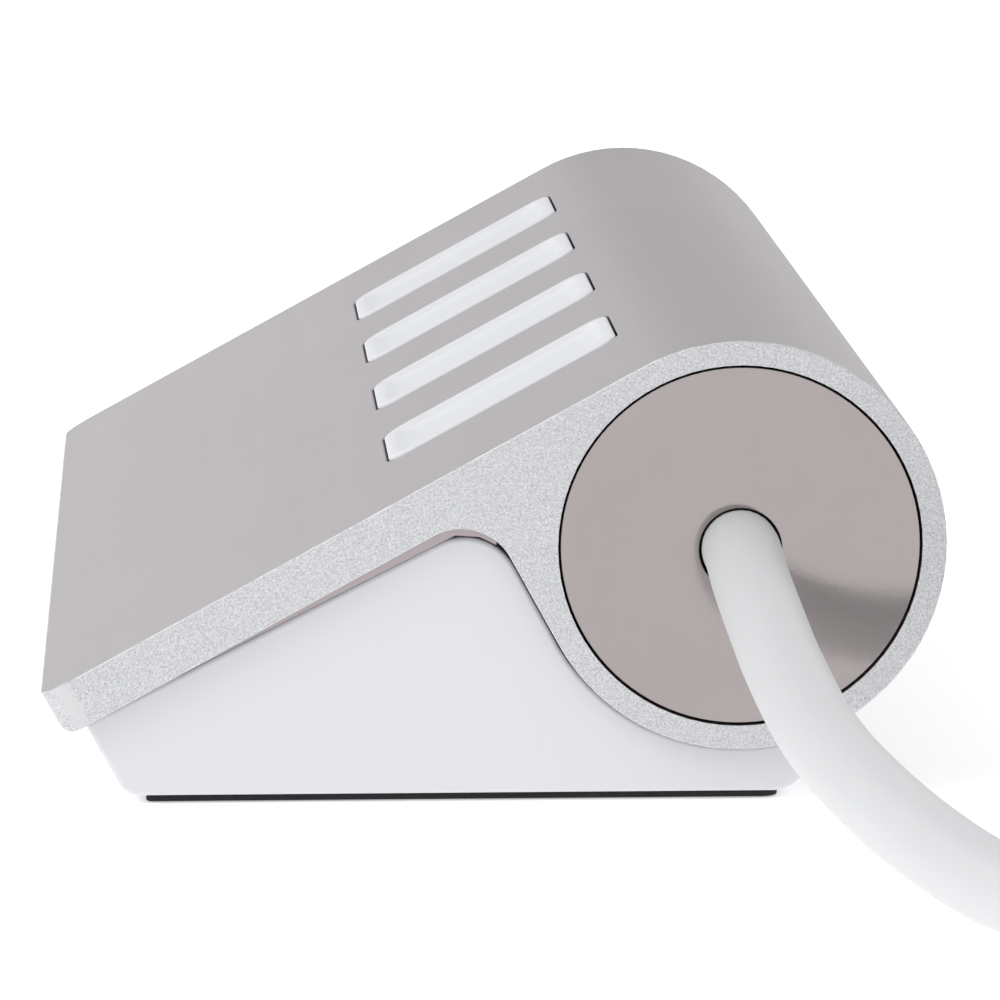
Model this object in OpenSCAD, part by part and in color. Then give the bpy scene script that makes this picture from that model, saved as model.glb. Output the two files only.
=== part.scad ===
// Desktop hub: an aluminium extrusion that is a tube with a sloping plate, on a white moulded foot.
// Four switch keys sit in pockets above the tube, four sockets face the back, one lead leaves the end.
// X runs from the low nose to the tube, Y along the tube from the lead end, Z is up from the table.
// The origin is the middle of the object's own footprint, without the lead.

/* [Housing] */
// Length of the extrusion along the tube
body_len = 100; // [98:1:110]
// Outside diameter of the tube
tube_od = 24; // [23.8:0.1:24.4]
// Wall of the tube
tube_wall = 1.4; // [1.2:0.05:1.45]
// Slope of the plate, in degrees
plate_slope = 28.8; // [28:0.1:29.5]
// Thickness of the plate
plate_t = 2.8; // [2.7:0.05:2.9]
// Distance from the tube's axis to the nose, along the plate
nose_reach = 39.7; // [39.5:0.1:42]
// Radius of the fillet between the plate and the tube's web
root_fillet = 3.3; // [3.2:0.05:3.4]

/* [Keys] */
// Length of a key, down the slope
key_len = 15.5; // [14.5:0.1:15.6]
// Width of a key, along the tube
key_w = 10.1; // [9:0.1:11]
// Distance from one key or socket to the next
pitch = 20.5; // [20:0.1:21]
// How far a key goes down when it is pressed
key_travel = 0.5; // [0.3:0.05:0.5]
// How far a key stands above the plate
key_proud = 0.12; // [0:0.02:0.3]
// Gap around a key in its pocket
key_gap = 0.15; // [0.1:0.01:0.2]

/* [Foot] */
// How far the foot is set in from each end of the extrusion
foot_inset = 1.2; // [0.8:0.1:2]
// Wall of the hollow foot
foot_wall = 1.6; // [1.4:0.1:1.8]
// Thickness of the rubber sheet
pad_t = 0.45; // [0.4:0.05:0.8]

/* [Lead] */
// Diameter of the lead
lead_d = 4.5; // [4.4:0.1:4.6]

/* [Hidden] */

$fn = 96;
eps = 0.01;
// Lines that would only touch a round are moved by this much, so that they cross it
cross = 0.003;

tube_r = tube_od / 2;
bore_r = tube_r - tube_wall;
slope_cos = cos(plate_slope);
slope_sin = sin(plate_slope);
plate_under = tube_r - plate_t;
nose_plan_r = 1.9;
nose_edge_r = 0.8;

// Foot, measured from the tube's axis
foot_drop = 14.75;
foot_reach = nose_reach - 1.34;
foot_edge_r = 1.4;
foot_heel_x = 4.2;
foot_heel_r = 2.1;
foot_peak_r = 3.3;
web_gap = 0.1;
ring_gap = 0.12;
gap_at_nose = 0.02;
gap_at_root = 0.86;

// The object's place in the shared frame
nose_x = nose_reach * slope_cos + tube_r * slope_sin;
axis_x = (nose_x - tube_r) / 2;
axis_z = foot_drop + pad_t;

key_s = 8.35;
key_corner_r = 1.2;
key_top = tube_r + key_proud;
key_under = tube_r - 1.7;
pocket_floor = tube_r - 2.3;
dish_rim = 0.8;
dish_depth = 0.35;
stem_s = 5.2;
stem_r = 1.1;
stem_tip = 8.6;
stem_slot = [6, 5];
hook_s = 2;
hook_w = 1;
hook_tip = 9.4;

key_board_h = 5.2;
key_board_t = 1;
key_board_half = 7.8;
key_board_top = key_board_h + key_board_t;
switch_h = 1.5;
switch_bore_r = 0.85;
plunger_r = 0.8;

board_top = -2.85;
board_t = 1.2;
board_x = [-9.4, 9.2];
board_end = 5.3;
board_under = board_top - board_t;

port_shell = [14, 13.1, 5.7];
port_mouth_x = 10;
sheet_t = 0.3;
window = [15.5, 8.1];
frame_gap = 0.05;
frame_open = [12.9, 5.5];

cap_r = bore_r - 0.15;
cap_recess = 0.15;
cap_t = 1.2;
cap_hole_r = lead_d / 2 + 0.17;
cap_hole_drop = 0.2;
gasket_t = 1.85;
gasket_in_r = 9.2;
cradle_y = cap_recess + cap_t + gasket_t;
cradle_t = 5;
cradle_r = bore_r - 0.1;
cradle_hole_r = 4.5;
post_r = 0.8;
post_ring_r = 7;
bush_r = 4.2;
bush_end = board_end - 0.2;
screw_y = cradle_y + 1.1;
wire_z = -1.6;

// How the tape curls round the root, from the corner between the plate and the web
tape_curl = [[2.2, -0.8], [1, -1.58], [0.4, -2.45], [0.25, -2.25], [0.5, -1.7], [1, -1.05],
             [2.1, -0.3], [3.4, 0]];

ballast_z = [foot_wall - foot_drop, foot_wall - foot_drop + 3];
ballast_x = [-34, -11];
boss_x = -22;

// Stations of the keys and sockets along the tube
stations = [for (i = [-1.5:1:1.5]) body_len / 2 + i * pitch];

// Lead: where it leaves, the points that it follows over the table, and the coil that holds the rest
lead_r = lead_d / 2;
lead_exit_y = cap_recess + cap_t - body_len / 2;
lead_exit_z = axis_z - cap_hole_drop;
lead_route = [[axis_x, lead_exit_y, lead_exit_z], [axis_x, -52, lead_exit_z], [14.4, -56, 14.1],
              [14.8, -61, 12.7], [15.4, -66, 11], [16.6, -72.5, 8.8], [18.5, -78, 7], [21.3, -83, 5.1],
              [25, -87.4, 3.4], [30, -90.3, 2.6], [36, -91.5, 2.4], [43, -91.8, 2.6], [50, -91.8, 2.8],
              [57, -91.75, 3], [64, -91.75, 3.05]];
coil_at = [64, -63.5, 0.8];
coil_r = 26;
coil_out_r = coil_r + lead_d;
coil_h = 3 * lead_d;
tail_route = [[92.25, -63.5, 12.05], [92.5, -57.5, 11.9], [92.7, -51.5, 10.5], [92.4, -46, 8],
              [91.3, -40.5, 5.4], [90, -37, 4.3], [88.925, -34, 4], [87.8, -31, 4]];
plug_at = [87.8, -31, 4];
plug_turn = atan2(3, 8);
relief_len = 11;
plug_body_size = [15.5, 8, 20];
plug_shell_size = [12, 4.5, 12];
tie_at = -55;
tie_w = 8;
tie_t = 0.7;

// Point at distance s down the plate and height h above the tube's axis, square to the plate
function on_plate(s, h) = [-s * slope_cos - h * slope_sin, -s * slope_sin + h * slope_cos];
// Height of the foot's sloping top at distance s down the plate
function foot_top(s) =
    plate_under - gap_at_nose - (gap_at_root - gap_at_nose) * (foot_reach - s) / (foot_reach - tube_r);

function unit(v) = v / norm(v);
// Direction of a route at point i
function heading(route, i) =
    unit(route[min(i + 1, len(route) - 1)] - route[max(i - 1, 0)]);
// Ring of points round a route at point i, square to its heading there
function route_ring(route, i, r, sides) =
    let (along = heading(route, i), across = unit(cross(along, [0, 0, 1])), up = cross(across, along))
    [for (k = [0:sides - 1]) route[i] + r * (cos(360 * k / sides) * across + sin(360 * k / sides) * up)];

// Everything inside is placed from the tube's axis at the lead end
module from_axis() {
    translate([axis_x, -body_len / 2, axis_z]) children();
}

// The same, with X running up the plate and Z square to it
module from_plate() {
    from_axis() rotate([0, -plate_slope, 0]) children();
}

// Gives the far end the same parts as the lead end
module far_end() {
    translate([0, body_len, 0]) mirror([0, 1, 0]) children();
}

// Carries an XZ outline along Y
module along_y(from, to) {
    translate([0, to, 0]) rotate([90, 0, 0]) linear_extrude(to - from) children();
}

module rounded_rect(size, r) {
    square([size[0] - 2 * r, size[1]], center = true);
    square([size[0], size[1] - 2 * r], center = true);
    for (x = [-1, 1], y = [-1, 1])
        translate([x * (size[0] / 2 - r), y * (size[1] / 2 - r)]) circle(r, $fn = 48);
}

// What is left of a corner square outside its round
module corner_waste(r) {
    difference() {
        translate([-1, -1]) square(r + 1);
        translate([r, r]) circle(r, $fn = 48);
    }
}

module swept_tube(route, r, sides) {
    n = len(route);
    points = [for (i = [0:n - 1]) each route_ring(route, i, r, sides)];
    sides_faces = [for (i = [0:n - 2], k = [0:sides - 1])
        let (a = i * sides + k, b = i * sides + (k + 1) % sides) [a, b, b + sides, a + sides]];
    first = [for (k = [sides - 1:-1:0]) k];
    last = [for (k = [0:sides - 1]) (n - 1) * sides + k];
    polyhedron(points, concat([first], sides_faces, [last]));
}

module housing_profile() {
    difference() {
        union() {
            circle(tube_r);
            rotate(plate_slope) {
                translate([-nose_reach, plate_under]) square([nose_reach, plate_t - cross]);
                translate([cross - tube_r, 0]) square(tube_r - cross);
                translate([-tube_r - root_fillet, plate_under - root_fillet] + 3 * cross * [1, 1])
                    difference() {
                        square(root_fillet);
                        circle(root_fillet);
                    }
            }
        }
        circle(bore_r);
        rotate(plate_slope) translate([-nose_reach, plate_under]) corner_waste(nose_edge_r);
    }
}

module key_pocket() {
    translate([-key_s, 0, pocket_floor]) linear_extrude(plate_t + 1)
        rounded_rect([key_len, key_w] + 2 * key_gap * [1, 1], key_corner_r);
    translate([-stem_s - stem_slot[0] / 2, -stem_slot[1] / 2, key_board_top])
        cube([stem_slot[0], stem_slot[1], plate_under]);
}

module port_window(size, from, to) {
    translate([from, 0, 0]) rotate([90, 0, 90]) linear_extrude(to - from) rounded_rect(size, 1);
}

module cradle_screw_hole(r, head_r, top) {
    translate([0, screw_y, -tube_r - eps]) cylinder(r1 = head_r, r2 = r, h = head_r - r);
    translate([0, screw_y, -tube_r]) cylinder(r = r, h = top);
}

module housing_extrusion() {
    color([0.74, 0.73, 0.73]) difference() {
        from_axis() along_y(0, body_len) housing_profile();
        from_plate() translate([-nose_reach, 0, plate_under - 1]) linear_extrude(plate_t + 2) {
            corner_waste(nose_plan_r);
            translate([0, body_len]) mirror([0, 1]) corner_waste(nose_plan_r);
        }
        from_plate() for (y = stations) translate([0, y, 0]) key_pocket();
        from_axis() for (y = stations) translate([0, y, 0]) port_window(window, bore_r - 3, tube_r + 1);
        from_axis() {
            cradle_screw_hole(1.1, 2, 3);
            far_end() cradle_screw_hole(1.1, 2, 3);
        }
    }
}

module base_outline() {
    toe = foot_reach - foot_edge_r;
    toe_z = foot_edge_r - foot_drop;
    toe_at = [(-toe - toe_z * slope_sin) / slope_cos, toe_z];
    heel_at = [foot_heel_x - foot_heel_r, foot_heel_r - foot_drop];
    web = tube_r + web_gap;
    peak_s = web + foot_peak_r;
    peak_at = on_plate(peak_s, foot_top(peak_s) - foot_peak_r);
    uphill = [slope_cos, slope_sin];
    outward = [-slope_sin, slope_cos];
    difference() {
        union() {
            polygon([toe_at - foot_edge_r * uphill, toe_at - [0, foot_edge_r], heel_at - [0, foot_heel_r],
                     heel_at + [foot_heel_r, 0], [foot_heel_x, -tube_r / 2], [0, 0], on_plate(web, 0),
                     peak_at + foot_peak_r * uphill, peak_at + foot_peak_r * outward,
                     on_plate(foot_reach, foot_top(foot_reach))]);
            translate(toe_at) circle(foot_edge_r + cross);
            translate(heel_at) circle(foot_heel_r + cross);
            translate(peak_at) circle(foot_peak_r + cross);
        }
        circle(tube_r + ring_gap);
    }
}

module base_hollow() {
    floor_z = foot_wall - foot_drop;
    toe = foot_reach - foot_wall;
    root = tube_r + web_gap + foot_wall;
    polygon([[(-toe - floor_z * slope_sin) / slope_cos, floor_z],
             [(-root - floor_z * slope_sin) / slope_cos, floor_z],
             on_plate(root, tube_r), on_plate(toe, tube_r)]);
}

module boss_places() {
    for (y = [body_len * 0.25, body_len * 0.75]) translate([boss_x, y, 0]) children();
}

module base_shell() {
    color([0.9, 0.91, 0.93]) from_axis() difference() {
        union() {
            difference() {
                along_y(foot_inset, body_len - foot_inset) base_outline();
                along_y(foot_inset + foot_wall, body_len - foot_inset - foot_wall) base_hollow();
            }
            boss_places() translate([0, 0, ballast_z[0] - 0.5]) cylinder(r = 2.5, h = 3.2);
        }
        boss_places() translate([0, 0, ballast_z[0] - 0.4]) cylinder(r = 1.05, h = 4);
    }
}

module ballast_plate() {
    color([0.35, 0.36, 0.38]) from_axis() difference() {
        translate([ballast_x[0], 8, ballast_z[0]])
            cube([ballast_x[1] - ballast_x[0], body_len - 16, ballast_z[1] - ballast_z[0]]);
        boss_places() translate([0, 0, ballast_z[0] - 1]) cylinder(r = 2.6, h = 6);
    }
}

module ballast_screws() {
    color([0.7, 0.7, 0.72]) from_axis() boss_places() {
        translate([0, 0, ballast_z[1]]) cylinder(r = 3.6, h = 0.6);
        translate([0, 0, ballast_z[1] + 0.6]) cylinder(r1 = 2, r2 = 1.6, h = 1.2);
        translate([0, 0, ballast_z[0] - 0.3]) cylinder(r = 1, h = 3.4);
    }
}

module foot_pad() {
    pad_x = [-34.5, 2.5];
    side = foot_inset + 0.6;
    corners = [0.4, 1];
    color([0.08, 0.08, 0.09]) from_axis() translate([0, 0, -foot_drop - pad_t]) linear_extrude(pad_t)
        difference() {
            translate([pad_x[0], side]) square([pad_x[1] - pad_x[0], body_len - 2 * side]);
            for (far = [0, 1]) translate([0, far * body_len]) mirror([0, far]) {
                translate([pad_x[0], side]) corner_waste(corners[0]);
                translate([pad_x[1], side]) mirror([1, 0]) corner_waste(corners[1]);
            }
        }
}

module bond_tape() {
    ends = [foot_inset + 0.15, foot_inset + foot_wall - 0.1];
    peak_s = tube_r + web_gap + foot_peak_r;
    curl = [for (c = tape_curl) on_plate(tube_r + c[0], plate_under + c[1])];
    color([0.75, 0.72, 0.72]) from_axis() {
        tape_strip(peak_s, curl, ends[0], ends[1]);
        far_end() tape_strip(peak_s, curl, ends[0], ends[1]);
        tape_strip(foot_reach - foot_wall + 0.1, [on_plate(foot_reach - foot_wall + 0.1, plate_under)],
                   6, body_len - 6);
    }
}

module tape_strip(s, curl, from, to) {
    tip = foot_reach - 0.5;
    along_y(from, to) polygon(concat([on_plate(tip, foot_top(tip)), on_plate(s, foot_top(s))], curl,
                                     [on_plate(tip, plate_under)]));
}

module cap_disc() {
    along_y(cap_recess, cap_recess + cap_t) circle(cap_r);
    for (a = [30, 150, 270]) rotate([0, a, 0]) translate([post_ring_r, 0, 0])
        along_y(cap_recess + cap_t - 0.2, cradle_y + 0.9) circle(post_r, $fn = 32);
}

module cable_cap() {
    color([0.6, 0.56, 0.55]) from_axis() difference() {
        cap_disc();
        translate([0, 0, -cap_hole_drop]) along_y(-1, 3) circle(cap_hole_r);
    }
}

module end_cap() {
    color([0.6, 0.56, 0.55]) from_axis() far_end() cap_disc();
}

module gasket() {
    along_y(cap_recess + cap_t, cradle_y) difference() {
        circle(bore_r - 0.05);
        circle(gasket_in_r);
    }
}

module cable_cap_gasket() {
    color([0.06, 0.06, 0.06]) from_axis() gasket();
}

module end_cap_gasket() {
    color([0.06, 0.06, 0.06]) from_axis() far_end() gasket();
}

module cradle() {
    slot_y = board_end - 0.1;
    difference() {
        along_y(cradle_y, cradle_y + cradle_t) difference() {
            circle(cradle_r);
            circle(cradle_hole_r);
        }
        translate([board_x[0] - 0.1, slot_y, board_under - 0.05])
            cube([board_x[1] - board_x[0] + 0.2, cradle_t, board_t + 0.1]);
        rotate([0, -plate_slope, 0]) translate([-key_board_half - 0.1, slot_y, key_board_h - 0.05])
            cube([2 * key_board_half + 0.2, cradle_t, key_board_t + 0.1]);
        for (a = [30, 150, 270]) rotate([0, a, 0]) translate([post_ring_r, 0, 0])
            along_y(cradle_y - 1, cradle_y + 1.1) circle(post_r + 0.05, $fn = 32);
        translate([0, screw_y, -tube_r]) cylinder(r = 1, h = 5.5);
    }
}

module cable_cradle() {
    color([0.15, 0.15, 0.16]) from_axis() cradle();
}

module end_cradle() {
    color([0.15, 0.15, 0.16]) from_axis() far_end() cradle();
}

module cradle_screw() {
    translate([0, screw_y, -tube_r + 0.1]) {
        cylinder(r1 = 1.8, r2 = 0.95, h = 0.85);
        cylinder(r = 0.95, h = 5);
    }
}

module cradle_screws() {
    color([0.6, 0.6, 0.62]) from_axis() {
        cradle_screw();
        far_end() cradle_screw();
    }
}

module cable_bush() {
    color([0.1, 0.1, 0.1]) from_axis() along_y(cap_recess + cap_t, bush_end) circle(bush_r);
}

module lead_wires() {
    color([0.7, 0.1, 0.1]) from_axis() for (x = [-3:1.5:3])
        translate([x, 0, wire_z]) along_y(bush_end, 8.6) circle(0.4, $fn = 24);
}

module header_plug() {
    color([0.95, 0.95, 0.9]) from_axis() translate([-4, 8.6, board_top + 0.1]) cube([8, 1.8, 2.4]);
}

module board_header() {
    color([0.9, 0.9, 0.85]) from_axis() translate([-4.5, 10.4, board_top]) cube([9, 2, 3]);
}

module main_board() {
    color([0.05, 0.25, 0.15]) from_axis() translate([board_x[0], board_end, board_under])
        cube([board_x[1] - board_x[0], body_len - 2 * board_end, board_t]);
}

module under_board(x, y, size) {
    from_axis() translate([x, y, board_under - size[2]]) cube(size);
}

module hub_chip() {
    color([0.08, 0.08, 0.08]) under_board(-7.5, body_len / 2 - 4.5, [9, 9, 0.9]);
}

module crystal() {
    color([0.8, 0.8, 0.8]) under_board(3, body_len / 2 - 1.6, [2.5, 3.2, 0.8]);
}

module power_coil() {
    color([0.2, 0.2, 0.22]) under_board(-3, body_len * 0.82, [6, 6, 3]);
}

module board_capacitors() {
    color([0.75, 0.75, 0.78]) from_axis() for (y = [0.18, 0.32, 0.68])
        translate([0, body_len * y, board_under - 5]) cylinder(r = 2.5, h = 5);
}

module port_shell(y) {
    color([0.8, 0.8, 0.82]) from_axis() translate([port_mouth_x - port_shell[0], y, 0]) rotate([90, 0, 90])
        linear_extrude(port_shell[0]) difference() {
            square([port_shell[1], port_shell[2]], center = true);
            square([port_shell[1], port_shell[2]] - 2 * sheet_t * [1, 1], center = true);
        }
}

module port_tongues() {
    block = [port_shell[1], port_shell[2]] - 2 * sheet_t * [1, 1];
    color([0.1, 0.25, 0.7]) from_axis() for (y = stations) translate([0, y, 0]) {
        translate([-3.8, -block[0] / 2, -block[1] / 2]) cube([2.2, block[0], block[1]]);
        translate([-1.7, -5.55, 0.3]) cube([10.4, 11.1, 1.8]);
    }
}

module port_contacts() {
    color([0.85, 0.7, 0.3]) from_axis() for (y = stations, k = [-3.5, -1, 1, 3.5])
        translate([0, y + k - 0.5, 0.15]) cube([8, 1, 0.15]);
}

module port_frames() {
    color([0.9, 0.91, 0.93]) from_axis() for (y = stations) translate([0, y, 0]) intersection() {
        difference() {
            port_window(window - 2 * frame_gap * [1, 1], bore_r - 0.4, tube_r);
            port_window(frame_open, bore_r - 1, tube_r + 1);
        }
        along_y(-10, 10) circle(tube_r - 0.15);
    }
}

module key_board() {
    color([0.05, 0.25, 0.15]) from_plate() translate([-key_board_half, board_end, key_board_h])
        cube([2 * key_board_half, body_len - 2 * board_end, key_board_t]);
}

module switch_bodies() {
    color([0.15, 0.15, 0.16]) from_plate() for (y = stations) translate([-stem_s, y, key_board_top])
        difference() {
            translate([-1.6, -1.7, 0]) cube([3.2, 3.4, switch_h]);
            translate([0, 0, 0.6]) cylinder(r = switch_bore_r, h = switch_h);
        }
}

module key_lights() {
    color([0.95, 0.95, 0.8]) from_plate() for (y = stations)
        translate([-stem_s - 0.8, y + 2.8, key_board_top]) cube([1.6, 0.8, 0.6]);
}

module board_link() {
    link_x = -8.6;
    color([0.85, 0.7, 0.3]) difference() {
        from_axis() for (k = [-2.5:1:2.5])
            translate([link_x, body_len / 2 + k * 1.27, board_top]) cylinder(r = 0.25, h = 6, $fn = 24);
        from_plate() translate([-20, 0, key_board_h]) cube([40, body_len, 20]);
    }
}

module key_hook(side) {
    translate([-hook_s - hook_w / 2, side > 0 ? 4.2 : -5, hook_tip])
        cube([hook_w, 0.8, key_under - hook_tip + 0.1]);
    translate([-hook_s - hook_w / 2, side > 0 ? 4.2 : -5.6, hook_tip]) cube([hook_w, 1.4, 0.7]);
}

module port_key(y) {
    color([0.92, 0.93, 0.95]) from_plate() translate([0, y, 0]) {
        difference() {
            translate([-key_s, 0, key_under]) linear_extrude(key_top - key_under)
                rounded_rect([key_len, key_w], key_corner_r);
            translate([-key_s, 0, key_top - dish_depth]) linear_extrude(1)
                rounded_rect([key_len, key_w] - 2 * dish_rim * [1, 1], key_corner_r * 0.7);
        }
        translate([-stem_s, 0, stem_tip]) cylinder(r = stem_r, h = key_under - stem_tip + 0.1);
        key_hook(1);
        key_hook(-1);
    }
}

module switch_plunger(y) {
    color([0.9, 0.9, 0.9]) from_plate() translate([-stem_s, y, key_board_top + switch_h - 0.15])
        cylinder(r = plunger_r, h = stem_tip - key_board_top - switch_h + 0.15);
}

module cable_lead() {
    color([0.93, 0.94, 0.95]) swept_tube(lead_route, lead_r, 12);
}

module cable_tail() {
    color([0.93, 0.94, 0.95]) swept_tube(tail_route, lead_r, 12);
}

// Two turns lie inside three, so the coil is higher round its outside
module cable_coil() {
    color([0.93, 0.94, 0.95]) translate(coil_at) rotate_extrude() {
        translate([coil_r, lead_d]) rounded_rect(2 * lead_d * [1, 1], lead_r);
        translate([coil_r + lead_r, coil_h / 2]) square([0.8 * lead_d, coil_h - lead_d], center = true);
        translate([coil_r + lead_r, coil_h - lead_r]) circle(lead_r, $fn = 48);
    }
}

module coil_tie() {
    inner = [coil_r - lead_d - 0.4, coil_out_r + 0.3];
    top = coil_at[2] + coil_h + 0.2;
    color([0.1, 0.1, 0.11]) translate([coil_at[0], coil_at[1], 0]) rotate([0, 0, tie_at])
        along_y(-tie_w / 2, tie_w / 2) difference() {
            translate([inner[0] - tie_t, 0]) square([inner[1] - inner[0] + 2 * tie_t, top + tie_t]);
            translate([inner[0], tie_t]) square([inner[1] - inner[0], top - tie_t]);
        }
}

module from_plug() {
    translate(plug_at) rotate([0, 0, plug_turn]) children();
}

module plug_body() {
    color([0.93, 0.94, 0.95]) from_plug() {
        rotate([-90, 0, 0]) cylinder(r1 = 2.9, r2 = 3.7, h = relief_len);
        along_y(relief_len, relief_len + plug_body_size[2])
            rounded_rect([plug_body_size[0], plug_body_size[1]], 2);
    }
}

module plug_shell() {
    start = relief_len + plug_body_size[2];
    color([0.8, 0.8, 0.82]) from_plug() difference() {
        along_y(start, start + plug_shell_size[2]) difference() {
            square([plug_shell_size[0], plug_shell_size[1]], center = true);
            square([plug_shell_size[0], plug_shell_size[1]] - 2 * sheet_t * [1, 1], center = true);
        }
        for (x = [-2.5, 2.5]) translate([x - 1.25, start + 5, -5]) cube([2.5, 2, 10]);
    }
}

module plug_tongue() {
    start = relief_len + plug_body_size[2];
    color([0.1, 0.25, 0.7]) from_plug() translate([-5.6, start, -1.9]) cube([11.2, 11.5, 1.85]);
}

module plug_contacts() {
    start = relief_len + plug_body_size[2];
    color([0.85, 0.7, 0.3]) from_plug() for (k = [-3.5, -1, 1, 3.5])
        translate([k - 0.5, start + 2.5, -0.05]) cube([1, 8, 0.15]);
}

housing_extrusion();
base_shell();
ballast_plate();
ballast_screws();
foot_pad();
bond_tape();
cable_cap();
end_cap();
cable_cap_gasket();
end_cap_gasket();
cable_cradle();
end_cradle();
cradle_screws();
cable_bush();
lead_wires();
header_plug();
board_header();
main_board();
hub_chip();
crystal();
board_capacitors();
power_coil();
port_tongues();
port_contacts();
port_frames();
key_board();
switch_bodies();
key_lights();
board_link();
for (i = [0:3]) port_shell(stations[i]);
for (i = [0:3]) port_key(stations[i]);
for (i = [0:3]) switch_plunger(stations[i]);
cable_lead();
cable_coil();
cable_tail();
coil_tie();
plug_body();
plug_shell();
plug_tongue();
plug_contacts();
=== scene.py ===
import math

import bmesh
import bpy
import numpy as np
from mathutils import Matrix, Vector


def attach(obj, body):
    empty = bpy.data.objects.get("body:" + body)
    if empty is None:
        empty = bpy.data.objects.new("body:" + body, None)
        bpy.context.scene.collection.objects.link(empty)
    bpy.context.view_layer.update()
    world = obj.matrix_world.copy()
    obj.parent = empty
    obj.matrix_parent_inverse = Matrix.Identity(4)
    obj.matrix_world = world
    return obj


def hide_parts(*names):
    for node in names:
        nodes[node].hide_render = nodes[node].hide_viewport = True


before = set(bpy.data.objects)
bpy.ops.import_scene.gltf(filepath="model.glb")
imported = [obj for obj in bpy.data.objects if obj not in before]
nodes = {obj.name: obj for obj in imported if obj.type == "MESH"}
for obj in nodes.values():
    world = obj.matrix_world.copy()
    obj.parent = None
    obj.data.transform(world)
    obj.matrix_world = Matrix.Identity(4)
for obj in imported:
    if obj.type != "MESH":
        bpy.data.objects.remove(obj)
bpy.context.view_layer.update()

# --- Studio ---------------------------------------------------------------------------------
# A white sweep under a pale, even sky, with a large soft box at the front left and two weaker
# ones behind, to the left and to the right. The camera stands in front of the lead's end and
# looks along the tube through a long lens.
bpy.context.scene.view_settings.view_transform = "Standard"

camera_at = (-0.018616, -0.419704, 0.080013)
camera_heading, camera_dip, camera_roll = -2.931, 9.508, 0.136
camera_data = bpy.data.cameras.new("studio_camera")
camera_data.sensor_width = 36.0
camera_data.lens = 234.0
camera_data.clip_start, camera_data.clip_end = 0.01, 30.0
camera = bpy.data.objects.new("studio_camera", camera_data)
camera.matrix_world = (
    Matrix.Translation(camera_at)
    @ Matrix.Rotation(math.radians(camera_heading), 4, "Z")
    @ Matrix.Rotation(math.radians(90 - camera_dip), 4, "X")
    @ Matrix.Rotation(math.radians(camera_roll), 4, "Z")
)
bpy.context.scene.collection.objects.link(camera)
bpy.context.scene.camera = camera


class Socket:
    """The output of one node, usable in plain arithmetic: each operator adds a Math node."""

    def __init__(self, finish, out):
        self.finish, self.out = finish, out

    def math(self, operation, *others):
        """A Math node on this value and the others, in that order."""
        return self.finish.add("ShaderNodeMath", {"operation": operation}, dict(enumerate((self, *others))))

    def __add__(self, other):
        return self.math("ADD", other)

    __radd__ = __add__

    def __mul__(self, other):
        return self.math("MULTIPLY", other)

    __rmul__ = __mul__

    def __sub__(self, other):
        return self.math("SUBTRACT", other)

    def __rsub__(self, other):
        return self.finish.add("ShaderNodeMath", {"operation": "SUBTRACT"}, {0: other, 1: self})

    def __abs__(self):
        return self.math("ABSOLUTE")

    def ramp(self, low, high):
        """Smooth step from 0 at low to 1 at high."""
        return self.finish.add(
            "ShaderNodeMapRange",
            {"interpolation_type": "SMOOTHSTEP"},
            {"Value": self, "From Min": low, "From Max": high},
        )


class Finish:
    """A material under construction, with the one method that adds nodes to it."""

    def __init__(self, name):
        self.material = bpy.data.materials.new(name)
        self.material.use_nodes = True
        self.tree = self.material.node_tree
        self.tree.nodes.clear()

    def add(self, kind, settings=None, values=None, out=0):
        """Adds a node of that kind: its settings first, then the values or links of its inputs."""
        node = self.tree.nodes.new(kind)
        for key, value in (settings or {}).items():
            setattr(node, key, value)
        for key, value in (values or {}).items():
            if isinstance(value, Socket):
                self.tree.links.new(value.out, node.inputs[key])
            else:
                node.inputs[key].default_value = value
        return Socket(self, node.outputs[out]) if node.outputs else None

    def place(self):
        """The piece's own place, in metres."""
        return self.add("ShaderNodeTexCoord", out="Object")

    def along(self, axis):
        """One coordinate of the piece's own place."""
        return self.add("ShaderNodeSeparateXYZ", values={0: self.place()}, out=axis)

    def stretched(self, scale, vector=None):
        """The place, or another vector, multiplied by a scale for each axis."""
        values = {0: vector or self.place(), 1: scale}
        return self.add("ShaderNodeVectorMath", {"operation": "MULTIPLY"}, values)

    def noise(self, scale, detail=2.0, rough=0.5, vector=None):
        """Cloudy noise from 0 to 1, with grains about 1 / scale metres across."""
        values = {"Vector": vector or self.place(), "Scale": scale, "Detail": detail, "Roughness": rough}
        return self.add("ShaderNodeTexNoise", values=values)

    def cells(self, scale):
        """A random number for each cell, about 1 / scale metres across."""
        values = {"Vector": self.place(), "Scale": scale}
        cell = self.add("ShaderNodeTexVoronoi", values=values, out="Color")
        return self.add("ShaderNodeSeparateColor", values={0: cell}, out=0)

    def blend(self, share, first, second):
        """Colour that goes from first, where share is 0, to second, where it is 1."""
        first, second = (c if isinstance(c, Socket) else (*c, 1.0) for c in (first, second))
        return self.add("ShaderNodeMix", {"data_type": "RGBA"}, {0: share, 6: first, 7: second}, out=2)

    def bump(self, height, strength, depth):
        """A normal that leans with height, for relief about depth metres deep."""
        values = {"Height": height, "Strength": strength, "Distance": depth}
        return self.add("ShaderNodeBump", values=values)

    def done(self, **values):
        """Ends the material in one Principled shader. Names use _ for a space."""
        values = {key.replace("_", " "): value for key, value in values.items()}
        shader = self.add("ShaderNodeBsdfPrincipled", values=values)
        self.add("ShaderNodeOutputMaterial", values={"Surface": shader})
        return self.material


def new_piece(name, points, faces, material):
    """A mesh object at the origin, from an array of points and a list of faces."""
    mesh = bpy.data.meshes.new(name)
    mesh.from_pydata(np.asarray(points, float).reshape(-1, 3).tolist(), [], faces)
    mesh.materials.append(material)
    piece = bpy.data.objects.new(name, mesh)
    bpy.context.scene.collection.objects.link(piece)
    return piece


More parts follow.
